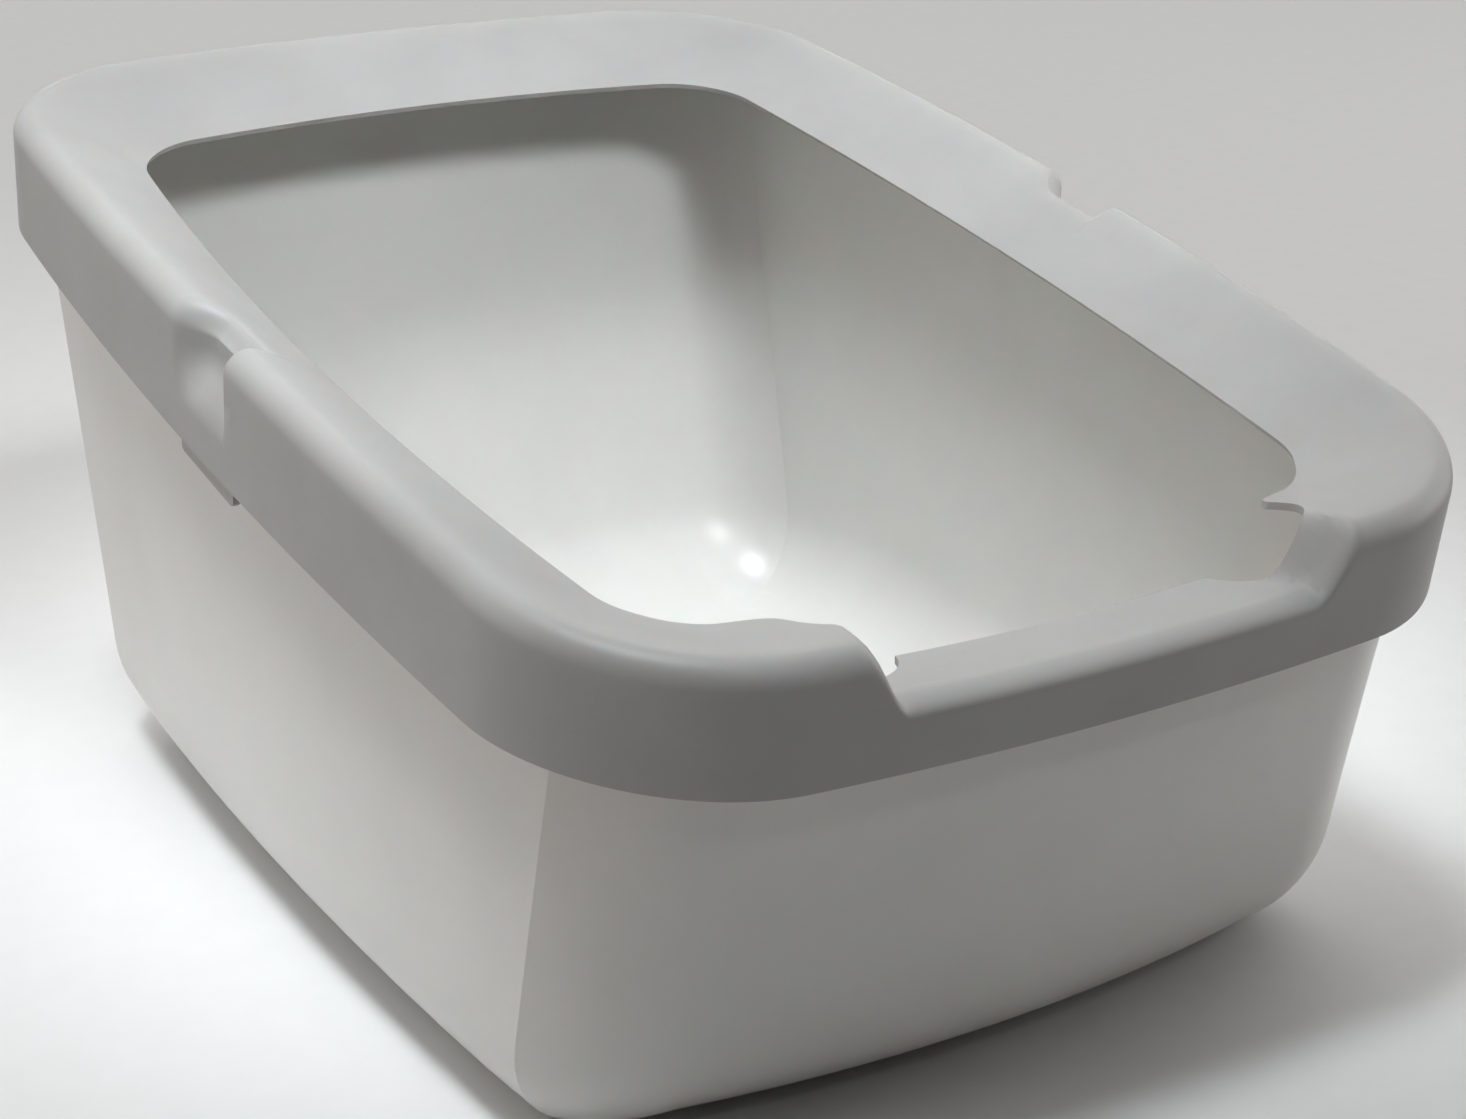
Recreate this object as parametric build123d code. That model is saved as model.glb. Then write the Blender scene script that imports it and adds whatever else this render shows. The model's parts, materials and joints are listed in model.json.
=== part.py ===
from build123d import *
from math import cos, radians, sin
import os

# Open litter box: a deep moulded pan and the guard rim that snaps onto its edge.
# Millimetres. X runs across the box, Y along it with the low entry at -Y, Z is up.
# The origin is on the floor, halfway between the rim's front and rear.

# Overall sizes
rim_length = 570.0  # over the skirt
rim_width = 389.0
rim_tilt = 8.7  # degrees, the rear end is the higher one
rim_base_height = 191.5  # floor to the skirt's bottom edge, halfway along
wall = 2.6

# Rim outline and section, in the rim's own plane
corner_radius = 74.0
side_bow = 12.0
end_bow = 12.5
rear_flare = 0.02  # how much wider the rear half gets, as a share of the width
skirt_sag = 3.0  # the skirt's edge rises this much from the middle to each end
crown_middle = 51.5
crown_end = 47.0
crown_radius = 9.0
ridge_inset = 10.0  # skirt face to the ridge where the top starts to fall inwards
edge_height = 28.7  # the top's inner edge
slope_deepening = 1.2  # how much deeper the sloping top's underside lies than the wall is thick
side_top_width = 44.0
front_top_width = 52.0
rear_top_width = 63.0
opening_radius = 27.5

# Low entry in the rim's front
entry_half_width = 84.0
entry_height = 26.0
entry_fall = 8.0  # degrees, the low bar's top falls inwards
entry_step = 16.0  # how far along the front each end of the entry takes to climb
entry_step_radius = 10.0
entry_shoulder_rise = 3.0  # the cut goes on rising gently past the step
entry_bar_width = 35.0
scallop_radius = 18.0  # round bite out of the inner edge at each end of the entry
scallop_x = 79.0
scallop_y = 7.0  # in from the low bar's inner edge

# Finger recess and release tab, in the middle of each long side
recess_length = 44.0
recess_centre = -10.0
recess_foot = 10.0
recess_foot_reach = 4.0  # the sloping floor comes down to this far outside the skirt
recess_depth = 20.0
recess_head = 49.0
tab_length = 50.0
tab_drop = 7.0
tab_inset = 2.0

# Pan
pan_gap = 13.5  # skirt face to pan wall, at the skirt's edge
pan_top = 11.0  # the lip's top face, above the skirt's edge
pan_corner_tightening = 19.0  # how much smaller the pan's corners are than the rim's
pan_side_draft = 0.0
pan_base_half_length = 222.0
pan_base_shift = -14.5
pan_base_side_bow = 9.0
pan_base_front_bow = 27.0
pan_base_rear_bow = 10.0
pan_base_radius = 45.0
pan_base_corner_tightening = 28.0
corner_overlap = 7.5  # how far the end walls' corners run out past the long side walls
lip_clearance = 0.4  # lip to the release tabs, and corners to the skirt
lip_thickness = 3.0
seat_gap = 0.3
seat_rib = 3.0
seat_rib_setback = 1.5  # lip's outer edge to the rib that stands on it

# Working values
half_width = rim_width / 2
half_length = rim_length / 2
tall = 120.0  # past anything that a cut has to clear
overrun = 10.0  # how far blocks run past the face that they are cut to
margin = 1.0  # slack where edges are picked by their height
pan_corner_radius = corner_radius - pan_corner_tightening
pan_base_corner_radius = corner_radius - pan_base_corner_tightening
lip_inset = tab_inset + wall + lip_clearance  # skirt face to the lip's outer edge
least_bow = 1.0  # bow of an edge that nothing is made from
side_block_sink = 0.2  # the long walls' block starts this much under the ends' block
rim_plane = Location((0, 0, rim_base_height), (rim_tilt, 0, 0))
pan_edge_plane = rim_plane * Pos(0, 0, pan_top)


def bowed_outline(half_x, half_y, bow_x, front_bow, rear_bow, radius, flare=0.0):
    """A rectangle with four bowed sides and rounded corners, about the origin."""
    front_x = (half_x - bow_x) * (1 - flare)
    rear_x = (half_x - bow_x) * (1 + flare)
    front_y = front_bow - half_y
    rear_y = half_y - rear_bow
    sides = [
        ThreePointArc((-front_x, front_y), (0, -half_y), (front_x, front_y)),
        ThreePointArc((front_x, front_y), (half_x, 0), (rear_x, rear_y)),
        ThreePointArc((rear_x, rear_y), (0, half_y), (-rear_x, rear_y)),
        ThreePointArc((-rear_x, rear_y), (-half_x, 0), (-front_x, front_y)),
    ]
    face = make_face(sides)
    return fillet(face.vertices(), radius) if radius else face


def rim_outline(inset):
    """The rim's plan, moved in from the skirt's outer face."""
    half_x = half_width - inset
    half_y = half_length - inset
    return bowed_outline(half_x, half_y, side_bow, end_bow, end_bow, corner_radius - inset, rear_flare)


def opening_outline():
    """The edge of the rim's opening."""
    half_x = half_width - side_top_width
    half_y = (rim_length - front_top_width - rear_top_width) / 2
    outline = bowed_outline(half_x, half_y, side_bow, end_bow, end_bow, opening_radius, rear_flare)
    return Pos(0, (front_top_width - rear_top_width) / 2, 0) * outline


def upright(face, low, high):
    """A prism on a plan outline, between two heights."""
    return Pos(0, 0, low) * extrude(face, high - low)


def side_view(inset, low_end, low_middle):
    """The rim seen from the side: arched crown and sagging skirt edge, as a prism along X."""
    high_end = crown_end - inset
    high_middle = crown_middle - inset
    crown = ThreePointArc((half_length, high_end), (0, high_middle), (-half_length, high_end))
    foot = ThreePointArc((-half_length, low_end), (0, low_middle), (half_length, low_end))
    ends = [
        Line((-half_length, high_end), (-half_length, low_end)),
        Line((half_length, low_end), (half_length, high_end)),
    ]
    face = Plane.YZ * make_face([crown, ends[0], foot, ends[1]])
    return extrude(face, rim_width, both=True)


def funnel(drop):
    """What is cut away above the sloping top, from the opening out to the ridge."""
    low = Pos(0, 0, edge_height - drop) * opening_outline()
    high = Pos(0, 0, crown_middle + margin - drop) * rim_outline(ridge_inset)
    return loft([low, high], ruled=True)


def entry_cut(grow):
    """What is cut away above the low entry bar; grow offsets it for the underside."""
    foot = entry_half_width + grow
    shoulder = foot + entry_step
    low = entry_height - grow
    high = crown_end - grow
    end = shoulder + entry_step
    half = [(foot, low), (shoulder, high), (end, high + entry_shoulder_rise), (end, tall)]
    profile = Polyline(half + [(-x, z) for x, z in reversed(half)], close=True)
    face = make_face(profile)
    bends = [v for v in face.vertices() if v.Y < high + margin]
    face = fillet(bends, entry_step_radius)
    depth = entry_bar_width * 2
    slant = (0, cos(radians(entry_fall)), -sin(radians(entry_fall)))
    start = Plane(origin=(0, -half_length - overrun, 0), x_dir=(1, 0, 0), z_dir=(0, -1, 0))
    return extrude(start * face, depth, dir=slant)


def recess_cut(grow):
    """One finger recess, cut from the +X side; grow offsets it for the wall behind."""
    outer = half_width + recess_depth
    foot = half_width + recess_foot_reach
    corner = half_width - recess_depth
    points = [
        (foot - grow, recess_foot - grow),
        (corner - grow, recess_head - grow),
        (corner - grow, tall),
        (outer, tall),
        (outer, recess_foot - grow),
    ]
    face = Plane.XZ * make_face(Polyline(points, close=True))
    return Pos(0, recess_centre, 0) * extrude(face, recess_length / 2 + grow, both=True)


def both_sides(solid):
    """A solid and its mirror image across the YZ plane."""
    return solid + mirror(solid, Plane.YZ)


def rim_form(inset, low_end, low_middle):
    """The rim as a solid block, with its top shaped; inset gives the form of its underside."""
    block = upright(rim_outline(inset), -tall, tall) & side_view(inset, low_end, low_middle)
    crown_edges = [e for e in block.edges() if e.center().Z > crown_end - inset - margin]
    block = fillet(crown_edges, crown_radius - inset)
    return block - funnel(inset * slope_deepening) - entry_cut(inset) - both_sides(recess_cut(inset))


def make_rim():
    """The guard rim, in its own plane."""
    body = rim_form(0, skirt_sag, 0)
    body -= upright(opening_outline(), -tall, tall)
    entry_y = -half_length + entry_bar_width
    body -= Pos(0, entry_y + tall / 2, 0) * Box(2 * scallop_x, tall, 4 * tall)
    scallop_end = scallop_x + scallop_radius
    body -= Pos(0, entry_y + scallop_y + tall / 2, 0) * Box(2 * scallop_end, tall, 4 * tall)
    scallop = Cylinder(scallop_radius, 4 * tall)
    body -= both_sides(Pos(scallop_x, entry_y + scallop_y, 0) * scallop)
    hollow = rim_form(wall, -tall + skirt_sag, -tall)
    shell = body - hollow

    rib_inset = lip_inset + seat_rib_setback
    rib_plan = rim_outline(rib_inset) - rim_outline(rib_inset + seat_rib)
    rib = upright(rib_plan, pan_top + seat_gap, tall) & body
    tab_x = half_width - tab_inset - wall / 2
    tab_height = tab_drop + recess_foot
    tab = Pos(tab_x, recess_centre, recess_foot - tab_height / 2) * Box(wall, tab_length, tab_height)
    return shell + rib + both_sides(tab)


def side_walls(inset):
    """The pan's two long walls and their rounded lower edges, as a long block."""
    base_x = half_width - pan_gap - pan_side_draft - inset
    top_x = half_width - pan_gap - inset
    past = half_length + tall
    stretch = (past / half_length) ** 2  # keeps the bow the same over the pan's own length
    base = bowed_outline(base_x, past, pan_base_side_bow * stretch, least_bow, least_bow, 0)
    top = bowed_outline(top_x, past, side_bow * stretch, least_bow, least_bow, 0)
    base = Pos(0, 0, inset - side_block_sink) * base
    block = loft([base, pan_edge_plane * Pos(0, 0, 2 * overrun) * top], ruled=True)
    long_edges = [e for e in block.edges() if e.center().Z < inset + margin and e.length > rim_length]
    return fillet(long_edges, pan_base_radius - inset)


def end_walls(inset):
    """The pan's bowed front and rear walls with their wrapped corners, as a block."""
    base_x = half_width - pan_gap - pan_side_draft + corner_overlap - inset
    top_x = half_width - pan_gap + corner_overlap - inset
    base_y = pan_base_half_length - inset
    top_y = half_length - pan_gap - inset
    base = bowed_outline(
        base_x, base_y, pan_base_side_bow, pan_base_front_bow, pan_base_rear_bow,
        pan_base_corner_radius - inset
    )
    top = bowed_outline(top_x, top_y, side_bow, end_bow, end_bow, pan_corner_radius - inset)
    base = Pos(0, pan_base_shift, inset) * base
    block = loft([base, pan_edge_plane * Pos(0, 0, overrun) * top], ruled=True)
    low_edges = [e for e in block.edges() if e.center().Z < inset + margin]
    return fillet(low_edges, pan_base_radius - inset)


def pan_form(inset):
    """The pan as a solid block; its -X half is made first and then mirrored."""
    left = Pos(-rim_width, 0, 0) * Box(2 * rim_width, 2 * rim_length, 2 * rim_length)
    return both_sides((side_walls(inset) & left) & (end_walls(inset) & left))


def make_pan():
    """The pan, with its base on the floor."""
    lip = pan_edge_plane * upright(rim_outline(lip_inset), -lip_thickness, 0)
    skirt_inside = rim_outline(wall + lip_clearance)
    in_skirt = rim_plane * (Box(2 * rim_width, 2 * rim_length, tall) - upright(skirt_inside, -tall, tall))
    above = pan_edge_plane * Pos(0, 0, tall / 2) * Box(2 * rim_width, 2 * rim_length, tall)
    return pan_form(0) - above - in_skirt + lip - pan_form(wall)


os.makedirs("parts", exist_ok=True)
rim = rim_plane * make_rim()
pan = make_pan()
export_step(rim, "parts/rim.step")
export_step(pan, "parts/pan.step")
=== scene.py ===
import bpy
import bmesh
import json
import math
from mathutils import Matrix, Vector


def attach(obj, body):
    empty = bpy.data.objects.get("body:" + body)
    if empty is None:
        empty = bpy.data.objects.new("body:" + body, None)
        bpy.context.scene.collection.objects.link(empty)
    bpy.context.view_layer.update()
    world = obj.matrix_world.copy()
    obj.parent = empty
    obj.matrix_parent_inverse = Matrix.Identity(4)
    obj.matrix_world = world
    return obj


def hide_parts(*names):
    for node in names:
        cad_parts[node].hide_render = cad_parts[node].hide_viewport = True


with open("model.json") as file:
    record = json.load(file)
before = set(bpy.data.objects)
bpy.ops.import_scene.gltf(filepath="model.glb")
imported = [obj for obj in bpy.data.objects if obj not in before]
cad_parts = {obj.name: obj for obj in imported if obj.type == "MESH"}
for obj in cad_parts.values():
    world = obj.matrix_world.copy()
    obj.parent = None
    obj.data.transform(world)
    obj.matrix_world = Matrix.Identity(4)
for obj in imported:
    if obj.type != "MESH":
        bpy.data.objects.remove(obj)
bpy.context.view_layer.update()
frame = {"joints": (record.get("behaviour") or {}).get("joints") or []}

hair = 0.01  # millimetres, too little to count when places are compared
weldGap = 0.02  # millimetres, vertices closer than this become one


def mm(*values):  # millimetres to metres
    scaled = [value / 1000 for value in values]
    return scaled[0] if len(scaled) == 1 else tuple(scaled)


def ease(low, high, value):  # 0 below low, 1 above high, smooth between
    share = max(0.0, min(1.0, (value - low) / (high - low)))
    return share * share * (3 - 2 * share)


def steps(low, high, step):  # evenly spaced places from low to high
    count = round((high - low) / step)
    return [low + (high - low) * index / count for index in range(count + 1)]


def deselect():
    bpy.ops.object.select_all(action="DESELECT")


def only(piece):  # selects one piece and makes it active
    deselect()
    piece.select_set(True)
    bpy.context.view_layer.objects.active = piece


def addBlock(middle, size):  # a plain block, in millimetres
    deselect()
    bpy.ops.mesh.primitive_cube_add(size=1, location=mm(*middle))
    bpy.context.active_object.scale = mm(*size)
    return bpy.context.active_object


def addRod(middle, radius, height, segments):  # an upright cylinder, in millimetres
    deselect()
    bpy.ops.mesh.primitive_cylinder_add(
        vertices=segments, radius=mm(radius), depth=mm(height), location=mm(*middle)
    )
    return bpy.context.active_object


def startPiece(name):  # takes over the primitive that was just added, and opens it for editing
    piece = bpy.context.active_object
    piece.name = name
    piece.data.name = name
    bpy.ops.object.transform_apply(location=True, rotation=True, scale=True)
    bpy.ops.object.mode_set(mode="EDIT")
    return piece


def pick(piece, kind, test):  # selects the vertices, edges or faces that pass a test
    bpy.ops.mesh.select_mode(type=kind)
    bpy.ops.mesh.select_all(action="DESELECT")
    mesh = bmesh.from_edit_mesh(piece.data)
    items = {"VERT": mesh.verts, "EDGE": mesh.edges, "FACE": mesh.faces}[kind]
    for item in items:
        item.select_set(bool(test(item)))
    mesh.select_flush_mode()
    bmesh.update_edit_mesh(piece.data)


def edgeSpan(edge, axis):  # how far an edge reaches along an axis, in metres
    first, second = [getattr(vertex.co, axis) for vertex in edge.verts]
    return abs(first - second)


def cutAcross(axis, places):  # cuts the whole mesh across an axis, in millimetres
    normal = [1 if axis == direction else 0 for direction in "xyz"]
    for place in places:
        bpy.ops.mesh.select_all(action="SELECT")
        middle = [mm(place) * part for part in normal]
        bpy.ops.mesh.bisect(plane_co=middle, plane_no=normal)


def reshape(piece, bend):  # moves every vertex by one formula, in millimetres
    for vertex in piece.data.vertices:
        vertex.co = Vector(mm(*bend(*[value * 1000 for value in vertex.co])))
    piece.data.update()


def addModifier(piece, kind, **settings):  # adds a modifier and applies it
    modifier = piece.modifiers.new(kind.lower(), kind)
    for key, value in settings.items():
        setattr(modifier, key, value)
    bpy.context.view_layer.objects.active = piece
    bpy.ops.object.modifier_apply(modifier=modifier.name)


def combine(piece, other, operation):  # boolean of two pieces, which uses up the second
    addModifier(piece, "BOOLEAN", operation=operation, solver="EXACT", object=other)
    bpy.data.objects.remove(other)


def smooth(piece, angle):  # smooth shading that keeps edges sharper than an angle in degrees
    only(piece)
    bpy.ops.object.shade_smooth_by_angle(angle=math.radians(angle))


# the slide that lifts the rim is square to the rim, so it gives the slope
liftAxis = frame["joints"][0]["axis"]
slope = math.atan2(-liftAxis[1], liftAxis[2])

rimSizes = {  # millimetres, in the rim's own sloping frame
    "width": 389, "length": 570, "height": 191.5, "cornerRadius": 74, "wall": 2.6,
    "sideBow": 12, "endBow": 12.5, "flare": 0.02, "skirtSag": 3,  # flare widens the rear
    "crown": 51.5, "crownDrop": 4.5, "crownRadius": 9,  # the highest line of the top
    "edgeHeight": 28.7, "edgeRise": 2.9, "fallPower": 1.25,  # the opening's edge, and the fall to it
    "topWidth": 44, "frontWidth": 52, "rearWidth": 63,  # from the skirt in to the opening
    "entryFoot": 86, "entryHead": 103, "entryInnerShift": -9,  # the steps beside the entry
    "entryCrown": 26, "entryEdge": 20, "entryWidth": 35,  # the low bar
    "scallopRadius": 18, "scallopX": 79, "scallopY": -243,  # the round bites at the bar's ends
    "noseRadius": 9, "noseY": -226, "noseOverX": 2, "noseOverY": 4,
    "cutMiddle": 20, "cutHeight": 60, "cutSpare": 20, "openLength": 40,  # blocks that cut the entry
    "recessFront": -32, "recessFrontBlend": (-1, 0.5),  # the recess starts crisp and ends soft
    "recessRear": 12, "recessRearBlend": (-14, 4),
    "recessDepth": 10, "recessFoot": 17, "recessHead": 36, "recessFade": 30,
    "recessDrop": 5, "recessShoulder": (40, 50),
    "tabLength": 50, "tabDrop": 7, "tabRise": 8, "tabInset": 2, "tabRadius": 2.5,
    "slicesX": (-118, 118, 2.5), "slicesY": (-208, 208, 8),  # from, to and spacing
    "crispReach": 1.2, "crispStep": 0.4, "softStep": 2, "softReach": 6,  # slices in the recess
    "smoothAngle": 32,
}
rimCounts = {
    "corner": 24, "skirtRows": 9, "shoulder": 8, "topRings": 12, "bite": 120, "nose": 96, "tab": 6,
}
rimHalfX = rimSizes["width"] / 2
rimHalfY = rimSizes["length"] / 2


def rimInset(x, y):  # how far in from the skirt a point lies, before bending
    radius = rimSizes["cornerRadius"]
    overX = abs(x) - (rimHalfX - radius)
    overY = abs(y) - (rimHalfY - radius)
    if overX > 0 and overY > 0:
        return radius - math.hypot(overX, overY)
    return radius - max(overX, overY)


def topShare(inset):  # 0 at the inner end of the shoulder, 1 at the opening
    return (inset - rimSizes["crownRadius"]) / (rimSizes["topWidth"] - rimSizes["crownRadius"])


def rimProfile(inset):  # height of the falling top at an inset
    fall = rimSizes["crown"] - rimSizes["edgeHeight"]
    return rimSizes["crown"] - fall * topShare(inset) ** rimSizes["fallPower"]


def sagRim(y, z, onTop):  # towards the ends the crown drops, and the lower edges rise
    foot, rise = (rimSizes["edgeHeight"], rimSizes["edgeRise"]) if onTop else (0, rimSizes["skirtSag"])
    crowned = (z - foot) / (rimSizes["crown"] - foot)
    return z + (y / rimHalfY) ** 2 * (rise * (1 - crowned) - rimSizes["crownDrop"] * crowned)


def pressRecess(x, y, z, inset, onTop):  # finger recess in the middle of each long side
    sizes = rimSizes
    front = [sizes["recessFront"] + offset for offset in sizes["recessFrontBlend"]]
    rear = [sizes["recessRear"] + offset for offset in sizes["recessRearBlend"]]
    along = ease(*front, y) * (1 - ease(*rear, y))
    fade = 1 - ease(0, sizes["recessFade"], inset)
    pressed = 1 if onTop else ease(sizes["recessFoot"], sizes["recessHead"], z)
    lowered = 1 if onTop else ease(*sizes["recessShoulder"], z)
    x -= math.copysign(sizes["recessDepth"] * pressed * fade * along, x)
    return x, z - sizes["recessDrop"] * along * fade * lowered


def widenEnd(y, inner):  # the ends' tops are wider than the sides'
    extra = (rimSizes["frontWidth"] if y < 0 else rimSizes["rearWidth"]) - rimSizes["topWidth"]
    return y * (1 - extra * inner / (rimHalfY - rimSizes["topWidth"]))


def lowerEntry(x, y, z, inner, onTop):  # brings the front down to the low bar between the steps
    sizes = rimSizes
    if y >= -rimHalfY + sizes["cornerRadius"]:
        return y, z
    shift = sizes["entryInnerShift"] * inner
    low = 1 - ease(sizes["entryFoot"] + shift, sizes["entryHead"] + shift, abs(x))
    depth = y + rimHalfY
    if onTop:
        lowZ = sizes["entryCrown"] - (sizes["entryCrown"] - sizes["entryEdge"]) * inner
        lowDepth = sizes["crownRadius"] + (sizes["entryWidth"] - sizes["crownRadius"]) * inner
    else:
        sag = sizes["skirtSag"]
        crownHere = sizes["crown"] - sizes["crownDrop"]
        lowZ = sag + (z - sag) * (sizes["entryCrown"] - sag) / (crownHere - sag)
        lowDepth = depth
    return y + (lowDepth - depth) * low, z + (lowZ - z) * low


def bowRim(x, y, inner):  # bowed sides and ends, wider at the rear
    reachY = rimHalfY - rimSizes["rearWidth"] * inner
    reachX = rimHalfX - rimSizes["topWidth"] * inner
    across = max(-1.0, min(1.0, x / reachX))
    along = max(-1.0, min(1.0, y / reachY))
    bowedX = x - rimSizes["sideBow"] * along ** 2 * across
    bowedY = y - rimSizes["endBow"] * across ** 2 * along
    return bowedX * (1 + rimSizes["flare"] * y / rimHalfY), bowedY


def bendRim(x, y, z):
    inset = rimInset(x, y)
    onTop = inset > rimSizes["crownRadius"] + hair
    inner = max(0.0, topShare(inset))
    z = sagRim(y, z, onTop)
    x, z = pressRecess(x, y, z, inset, onTop)
    y = widenEnd(y, inner)
    y, z = lowerEntry(x, y, z, inner, onTop)
    return *bowRim(x, y, inner), z


def noseCutter(side):  # rounds the corner that the high part keeps beside each bite
    sizes = rimSizes
    radius, overX, overY = sizes["noseRadius"], sizes["noseOverX"], sizes["noseOverY"]
    cornerX = sizes["scallopX"] + sizes["scallopRadius"]
    middleX = side * (cornerX + (radius - overX) / 2)
    middleY = sizes["noseY"] - (radius - overY) / 2
    addBlock((middleX, middleY, sizes["cutMiddle"]), (radius + overX, radius + overY, sizes["cutHeight"]))
    cutter = startPiece("noseCutter")
    bpy.ops.object.mode_set(mode="OBJECT")
    place = (side * (cornerX + radius), sizes["noseY"] - radius, sizes["cutMiddle"])
    rod = addRod(place, radius, sizes["cutHeight"] + sizes["cutSpare"], rimCounts["nose"])
    combine(cutter, rod, "DIFFERENCE")
    return cutter


def openEntry(rim):  # round bites at the bar's ends, and a bar that is open to the inside
    sizes = rimSizes
    for side in (-1, 1):
        place = (side * sizes["scallopX"], sizes["scallopY"], sizes["cutMiddle"])
        bite = addRod(place, sizes["scallopRadius"], sizes["cutHeight"], rimCounts["bite"])
        combine(rim, bite, "DIFFERENCE")
        combine(rim, noseCutter(side), "DIFFERENCE")
    wide = 2 * (sizes["scallopX"] + sizes["scallopRadius"])
    middle = (0, sizes["scallopY"] + sizes["openLength"] / 2, sizes["cutMiddle"])
    combine(rim, addBlock(middle, (wide, sizes["openLength"], sizes["cutHeight"])), "DIFFERENCE")


def releaseTab(side):  # a short flap with rounded lower corners, inside the skirt
    sizes = rimSizes
    height = sizes["tabDrop"] + sizes["tabRise"]
    spotX = side * (rimHalfX - sizes["tabInset"] - sizes["wall"] / 2)
    spotY = (sizes["recessFront"] + sizes["recessRear"]) / 2
    addBlock((spotX, spotY, height / 2 - sizes["tabDrop"]), (sizes["wall"], sizes["tabLength"], height))
    tab = startPiece("releaseTab")
    throughWall = mm(sizes["wall"] / 2)
    pick(tab, "EDGE", lambda edge: all(vertex.co.z < 0 for vertex in edge.verts)
         and edgeSpan(edge, "x") > throughWall)
    bpy.ops.mesh.bevel(offset=mm(sizes["tabRadius"]), segments=rimCounts["tab"], affect="EDGES")
    bpy.ops.object.mode_set(mode="OBJECT")
    return tab


def raiseSkirt(rim):  # the upright skirt, then the rounded shoulder over it
    radius = rimSizes["crownRadius"]
    rows, turns = rimCounts["skirtRows"], rimCounts["shoulder"]
    pick(rim, "FACE", lambda face: True)
    lift = (rimSizes["crown"] - radius) / rows
    for row in range(rows):
        bpy.ops.mesh.extrude_region_move(TRANSFORM_OT_translate={"value": (0, 0, mm(lift))})
    for turn in range(turns):
        before, after = [math.pi / 2 * count / turns for count in (turn, turn + 1)]
        inward = radius * (math.cos(before) - math.cos(after))
        upward = radius * (math.sin(after) - math.sin(before))
        bpy.ops.mesh.inset(thickness=mm(inward), depth=mm(upward), use_even_offset=True)


def layTop(rim):  # rings that fall to the opening, which is then cleared
    shoulder, width = rimSizes["crownRadius"], rimSizes["topWidth"]
    insets = steps(shoulder, width, (width - shoulder) / rimCounts["topRings"])
    for outer, inner in zip(insets, insets[1:]):
        drop = rimProfile(inner) - rimProfile(outer)
        bpy.ops.mesh.inset(thickness=mm(inner - outer), depth=mm(drop), use_even_offset=True)
    pick(rim, "FACE", lambda face: len(face.verts) > 4)
    bpy.ops.mesh.delete(type="FACE")


def sliceRim():  # gives the formula enough vertices to bend
    sizes = rimSizes
    front, rear = sizes["recessFront"], sizes["recessRear"]
    cutAcross("x", steps(*sizes["slicesX"]))
    cutAcross("y", steps(*sizes["slicesY"]))
    cutAcross("y", steps(front - sizes["crispReach"], front + sizes["crispReach"], sizes["crispStep"]))
    cutAcross("y", steps(front + sizes["softStep"], rear + sizes["softReach"], sizes["softStep"]))


def makeRim():
    sizes = rimSizes
    deselect()
    bpy.ops.mesh.primitive_plane_add(size=1, scale=(1, 1, 1))
    bpy.context.active_object.scale = (mm(sizes["width"]), mm(sizes["length"]), 1)
    rim = startPiece("guardRim")
    bpy.ops.mesh.select_all(action="SELECT")
    bpy.ops.mesh.bevel(offset=mm(sizes["cornerRadius"]), segments=rimCounts["corner"], affect="VERTICES")
    raiseSkirt(rim)
    layTop(rim)
    sliceRim()
    bpy.ops.mesh.select_all(action="SELECT")
    bpy.ops.mesh.remove_doubles(threshold=mm(weldGap))
    bpy.ops.mesh.normals_make_consistent(inside=False)
    bpy.ops.object.mode_set(mode="OBJECT")
    reshape(rim, bendRim)
    addModifier(rim, "SOLIDIFY", thickness=mm(sizes["wall"]), offset=-1, use_even_offset=True)
    openEntry(rim)
    for side in (-1, 1):
        combine(rim, releaseTab(side), "UNION")
    rim.rotation_euler[0] = slope
    rim.location[2] = mm(sizes["height"])
    only(rim)
    bpy.ops.object.transform_apply(location=True, rotation=True, scale=True)
    smooth(rim, sizes["smoothAngle"])
    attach(rim, "rim")
    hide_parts("rim")
    print("rim", len(rim.data.polygons), "faces")
    return rim


panSizes = {  # millimetres
    "sideGap": 13.5, "lipHeight": 11, "wall": 2.6,  # how the top edge lies inside the rim
    "baseHalfLength": 222, "baseShift": -14.5, "baseRadius": 45,
    "baseSideBow": 9, "baseFrontBow": 27, "baseRearBow": 10,
    "cornerRadius": 55, "baseCornerRadius": 46, "cornerPull": 0.6, "overlap": 7.5,
    "blockHeight": 200, "spare": 12,  # the inside reaches past the edge by the spare
    "slices": {"z": (60, 190, 10), "x": (-125, 125, 5), "y": (-180, 150, 6)},  # from, to and spacing
    "smoothAngle": 14,
}
panCounts = {"corner": 20, "base": 14}


def edgeHeightAt(y):  # height of the pan's top edge above the floor
    return rimSizes["height"] + panSizes["lipHeight"] / math.cos(slope) + math.tan(slope) * y


def cornerReach(place, half):  # 0 along a side, 1 at the very corner
    radius = panSizes["cornerRadius"]
    return max(0.0, abs(place) - half + radius) / radius


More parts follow.
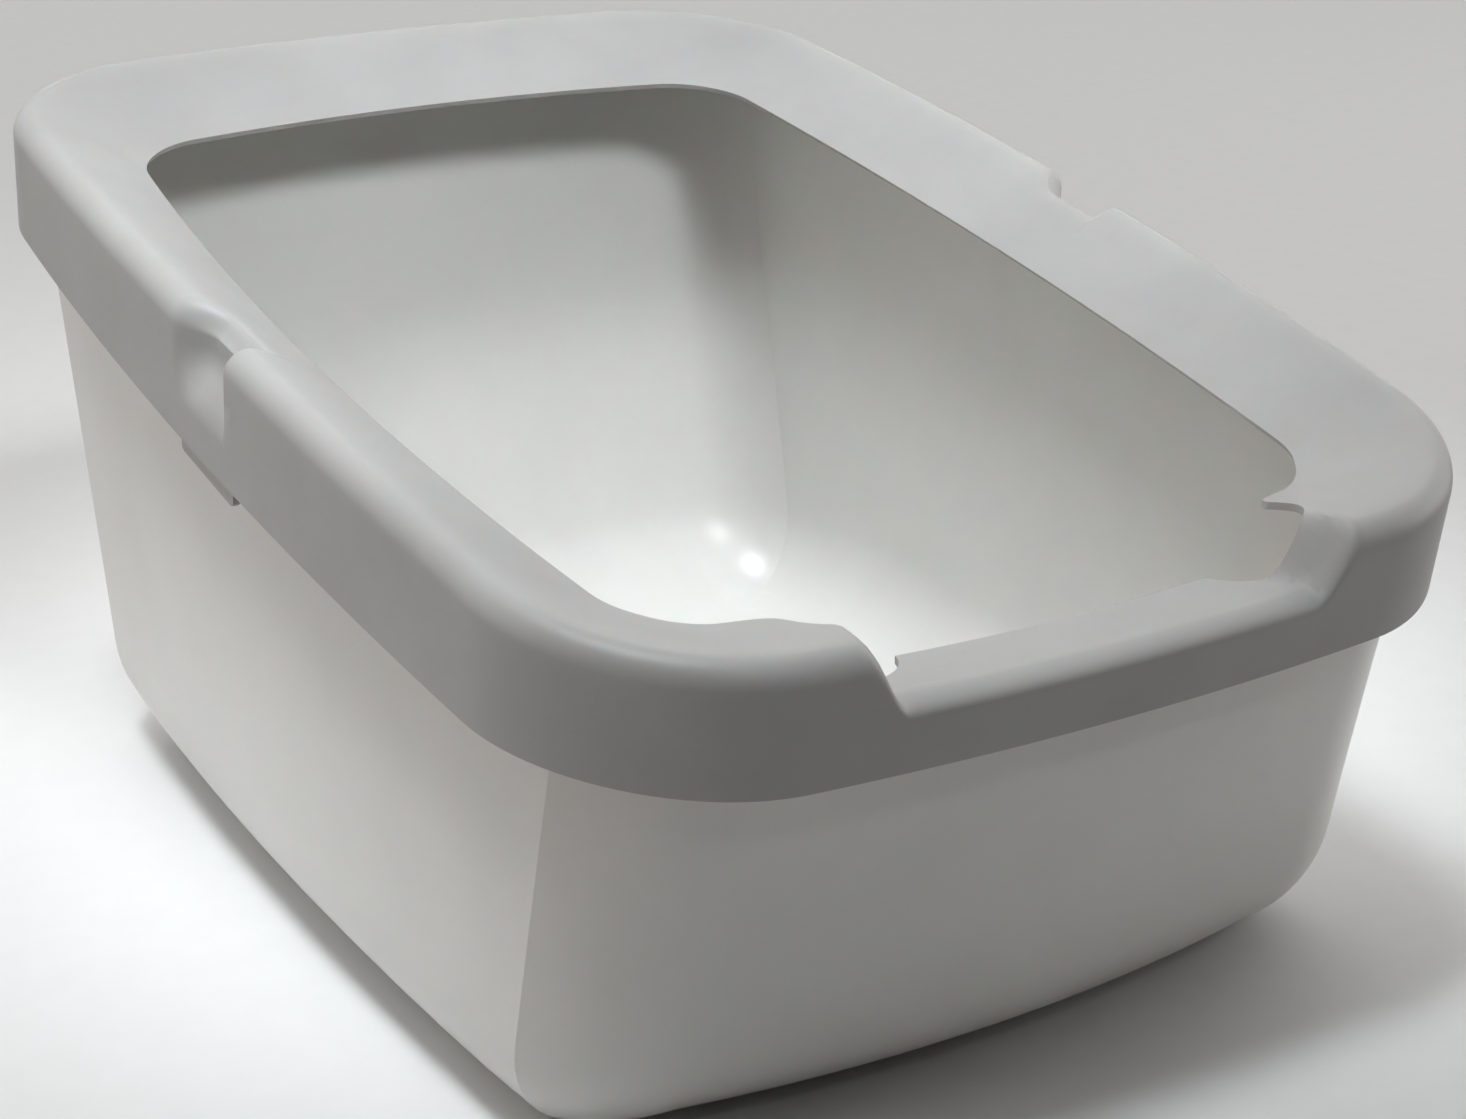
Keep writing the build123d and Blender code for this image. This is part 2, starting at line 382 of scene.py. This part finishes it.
def bendPan(x, y, z, spare):  # leans and bows a straight block into the pan's form
    sizes = panSizes
    halfY = sizes["baseHalfLength"]
    halfX = rimHalfX - sizes["sideGap"]
    y -= sizes["baseShift"]
    along = y / halfY
    across = x / halfX
    topY = (rimHalfY - sizes["sideGap"]) * along * math.cos(slope)
    topZ = edgeHeightAt(topY)
    upright = max(0.0, z - sizes["baseRadius"]) / (sizes["blockHeight"] - sizes["baseRadius"])
    z += upright * (topZ + spare - sizes["blockHeight"])
    up = z / topZ
    baseEndBow = sizes["baseFrontBow"] if along < 0 else sizes["baseRearBow"]
    endBow = baseEndBow + (rimSizes["endBow"] - baseEndBow) * up
    sideBow = sizes["baseSideBow"] + (rimSizes["sideBow"] - sizes["baseSideBow"]) * up
    # corners are tighter at the base
    sharper = (sizes["cornerRadius"] - sizes["baseCornerRadius"]) * (1 - up)
    corner = min(cornerReach(x, halfX), cornerReach(y, halfY))
    y += math.copysign(sharper * corner * sizes["cornerPull"], y)
    baseY = y + sizes["baseShift"]
    y = baseY + (topY - baseY) * up
    x -= sideBow * along ** 2 * across
    y -= endBow * across ** 2 * along
    return x * (1 + rimSizes["flare"] * along * up), y, z


def panBlock(name, inset, spare, isEnds):  # the pan's form as a solid block, at an inset
    sizes = panSizes
    halfX = rimHalfX - sizes["sideGap"] - inset
    halfY = sizes["baseHalfLength"] - inset
    if isEnds:
        halfX += sizes["overlap"]
    else:
        halfY += sizes["cornerRadius"] + sizes["baseRadius"]
    height = sizes["blockHeight"] - inset
    addBlock((0, sizes["baseShift"], inset + height / 2), (2 * halfX, 2 * halfY, height))
    block = startPiece(name)
    long = mm(height / 2)  # only the block's own edges are longer
    if isEnds:
        pick(block, "EDGE", lambda edge: edgeSpan(edge, "z") > long)
        offset = mm(sizes["cornerRadius"] - inset)
        bpy.ops.mesh.bevel(offset=offset, segments=panCounts["corner"], affect="EDGES")
    low = mm(inset + 1)  # just over the block's floor
    pick(block, "EDGE", lambda edge: all(vertex.co.z < low for vertex in edge.verts)
         and (isEnds or edgeSpan(edge, "y") > long))
    offset = mm(sizes["baseRadius"] - inset)
    bpy.ops.mesh.bevel(offset=offset, segments=panCounts["base"], affect="EDGES")
    bpy.ops.mesh.select_all(action="SELECT")
    bpy.ops.mesh.remove_doubles(threshold=mm(weldGap))
    for axis, places in sizes["slices"].items():
        cutAcross(axis, steps(*places))
    bpy.ops.mesh.select_all(action="SELECT")
    bpy.ops.mesh.normals_make_consistent(inside=False)
    bpy.ops.object.mode_set(mode="OBJECT")
    reshape(block, lambda x, y, z: bendPan(x, y, z, spare))
    return block


def panForm(inset, spare):  # long walls and wrapped ends, which meet in a crease at each corner
    form = panBlock("panEnds", inset, spare, True)
    combine(form, panBlock("panSides", inset, spare, False), "INTERSECT")
    return form


def makePan():
    sizes = panSizes
    pan = panForm(0, 0)
    combine(pan, panForm(sizes["wall"], sizes["spare"]), "DIFFERENCE")
    pan.name = pan.data.name = "mouldedPan"
    smooth(pan, sizes["smoothAngle"])
    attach(pan, "pan")
    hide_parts("pan")
    print("pan", len(pan.data.polygons), "faces")
    return pan


def linear(code):  # sRGB hex to the linear colour that shaders use
    parts = [int(code[place:place + 2], 16) / 255 for place in (1, 3, 5)]
    colour = [part / 12.92 if part <= 0.04045 else ((part + 0.055) / 1.055) ** 2.4 for part in parts]
    return tuple(colour) + (1,)


def cellScale(count, length):  # pattern scale for a count of cells along a length in millimetres
    return 1000 * count / length


def addNode(tree, kind, settings=None, values=None, links=None):
    node = tree.nodes.new(kind)
    for key, value in (settings or {}).items():
        setattr(node, key, value)
    for key, value in (values or {}).items():
        node.inputs[key].default_value = value
    for key, source in (links or {}).items():
        tree.links.new(source, node.inputs[key])
    return node


def startMaterial(name):
    material = bpy.data.materials.new(name)
    material.use_nodes = True
    material.node_tree.nodes.clear()
    return material, material.node_tree


def mottle(tree, place, scale, detail, dark, light, spread):  # a tone that drifts between two colours
    cloud = addNode(
        tree, "ShaderNodeTexNoise", values={"Scale": scale, "Detail": detail}, links={"Vector": place}
    )
    tone = addNode(tree, "ShaderNodeValToRGB", links={"Fac": cloud.outputs["Fac"]})
    for element, colour, position in zip(tone.color_ramp.elements, (dark, light), spread):
        element.color = linear(colour)
        element.position = position
    return tone.outputs["Color"]


def satinPolypropylene():
    # polypropylene moulded in a finely textured tool: an even mid grey with wide, soft highlights
    material, tree = startMaterial("satinMouldedPolypropylene")
    place = addNode(tree, "ShaderNodeTexCoord").outputs["Object"]
    tone = mottle(tree, place, cellScale(11, 500), 3, "#969593", "#9C9B99", (0.3, 0.7))
    grain = addNode(  # the real grain is finer and is drawn at about 1 mm so that it can show
        tree, "ShaderNodeTexNoise", values={"Scale": cellScale(9, 10), "Detail": 2}, links={"Vector": place}
    )
    bump = addNode(
        tree, "ShaderNodeBump", values={"Strength": 0.12, "Distance": mm(0.2)},
        links={"Height": grain.outputs["Fac"]},
    )
    shader = addNode(
        tree, "ShaderNodeBsdfPrincipled",
        values={"Roughness": 0.46, "IOR": 1.49, "Subsurface Weight": 0.15, "Subsurface Scale": mm(4)},
        links={"Base Color": tone, "Normal": bump.outputs["Normal"]},
    )
    addNode(tree, "ShaderNodeOutputMaterial", links={"Surface": shader.outputs["BSDF"]})
    return material


def glossPolypropylene():
    # polypropylene moulded in a smooth tool: a paler grey with tighter, brighter highlights
    material, tree = startMaterial("glossMouldedPolypropylene")
    place = addNode(tree, "ShaderNodeTexCoord").outputs["Object"]
    tone = mottle(tree, place, cellScale(7, 500), 3, "#CBCAC6", "#D0CFCB", (0.3, 0.7))
    shader = addNode(
        tree, "ShaderNodeBsdfPrincipled",
        values={"Roughness": 0.3, "IOR": 1.49, "Subsurface Weight": 0.1, "Subsurface Scale": mm(4)},
        links={"Base Color": tone},
    )
    addNode(tree, "ShaderNodeOutputMaterial", links={"Surface": shader.outputs["BSDF"]})
    return material


def matteFloor():
    # uncoated paper: a pale ground with no shine, which takes a soft shadow
    material, tree = startMaterial("mattePaperFloor")
    place = addNode(tree, "ShaderNodeTexCoord").outputs["Object"]
    tone = mottle(tree, place, cellScale(6, 100), 4, "#DDDDDC", "#E2E2E1", (0, 1))
    shader = addNode(
        tree, "ShaderNodeBsdfPrincipled", values={"Roughness": 0.9}, links={"Base Color": tone}
    )
    addNode(tree, "ShaderNodeOutputMaterial", links={"Surface": shader.outputs["BSDF"]})
    return material


def dress(piece, material):  # gives a piece its one material
    piece.data.materials.clear()
    piece.data.materials.append(material)
    print("material", material.name, "on", piece.name)


floorWidth = 14  # metres


def makeFloor():
    deselect()
    bpy.ops.mesh.primitive_plane_add(size=floorWidth)
    floor = bpy.context.active_object
    floor.name = "studioFloor"
    dress(floor, matteFloor())


def aimAt(thing, target):
    direction = Vector(target) - thing.location
    thing.rotation_euler = direction.to_track_quat("-Z", "Y").to_euler()


def addSoftbox(name, place, target, width, height, power, spread, tint):
    data = bpy.data.lights.new(name, "AREA")
    data.shape = "RECTANGLE"
    data.size = width
    data.size_y = height
    data.energy = power
    data.spread = math.radians(spread)
    data.color = linear(tint)[:3]
    lamp = bpy.data.objects.new(name, data)
    bpy.context.collection.objects.link(lamp)
    lamp.location = place
    aimAt(lamp, target)


studioLights = {  # metres, watts and degrees
    "ceilingSoftbox": {
        "place": (0, 3.0, 3.0), "target": (0, 3.0, 0), "width": 8, "height": 8,
        "power": 90, "spread": 180, "tint": "#FFFFFF",
    },
    "insideSoftbox": {
        "place": (-0.35, -0.15, 1.65), "target": (0.02, 0.03, 0.03), "width": 0.5, "height": 0.6,
        "power": 1.3, "spread": 26, "tint": "#F2F7FC",
    },
    "rearSoftbox": {
        "place": (0, -1.3, 1.5), "target": (0, 0.26, 0.17), "width": 0.5, "height": 0.4,
        "power": 0.5, "spread": 20, "tint": "#F2F7FC",
    },
    "leftSoftbox": {
        "place": (-2.4, 0.5, 0.9), "target": (0, 0, 0.15), "width": 1.4, "height": 1.4,
        "power": 10, "spread": 180, "tint": "#FFF6EA",
    },
    "rightSoftbox": {
        "place": (2.4, -0.7, 0.8), "target": (0, 0, 0.15), "width": 1.2, "height": 1.2,
        "power": 11, "spread": 180, "tint": "#FFF9F2",
    },
}
roomGlow = {  # how bright the room is, by direction: cosines to the bright side, then strengths
    "brightSide": (0.5, 0.866, 0), "dimFrom": -0.1, "fullFrom": 0.6, "dim": 0.03, "full": 1.0,
    "tint": "#FFFFFF",
}


def makeStudio():  # bright behind and above the box, dark in front of it
    world = bpy.data.worlds.new("studio")
    bpy.context.scene.world = world
    world.use_nodes = True
    tree = world.node_tree
    background = tree.nodes["Background"]
    direction = addNode(tree, "ShaderNodeTexCoord").outputs["Generated"]
    rearward = addNode(
        tree, "ShaderNodeVectorMath", {"operation": "DOT_PRODUCT"},
        {1: roomGlow["brightSide"]}, {0: direction},
    )
    share = addNode(
        tree, "ShaderNodeMapRange", {"interpolation_type": "SMOOTHSTEP"},
        {"From Min": roomGlow["dimFrom"], "From Max": roomGlow["fullFrom"],
         "To Min": roomGlow["dim"], "To Max": roomGlow["full"]},
        {"Value": rearward.outputs["Value"]},
    )
    tree.links.new(share.outputs["Result"], background.inputs["Strength"])
    background.inputs["Color"].default_value = linear(roomGlow["tint"])
    for name, settings in studioLights.items():
        addSoftbox(name, **settings)
    print("studio", len(studioLights), "softboxes")


cameraPlace = {  # metres, then millimetres of lens and sensor, and degrees
    "spot": (-0.4818, -0.8539, 0.4953), "target": (0.0549, 0.0432, 0.0839),
    "lens": 64.5, "sensorWidth": 36, "roll": -0.2,
}


def makeCamera():
    data = bpy.data.cameras.new("camera")
    data.lens = cameraPlace["lens"]
    data.sensor_width = cameraPlace["sensorWidth"]
    camera = bpy.data.objects.new("camera", data)
    bpy.context.collection.objects.link(camera)
    camera.location = cameraPlace["spot"]
    aimAt(camera, cameraPlace["target"])
    camera.rotation_euler.rotate_axis("Z", math.radians(cameraPlace["roll"]))
    bpy.context.scene.camera = camera
    print("camera", data.lens, "mm lens")


makeCamera()
makeStudio()
makeFloor()
rimPiece = makeRim()
panPiece = makePan()
dress(rimPiece, satinPolypropylene())
dress(panPiece, glossPolypropylene())
bpy.context.scene.view_settings.view_transform = "Standard"
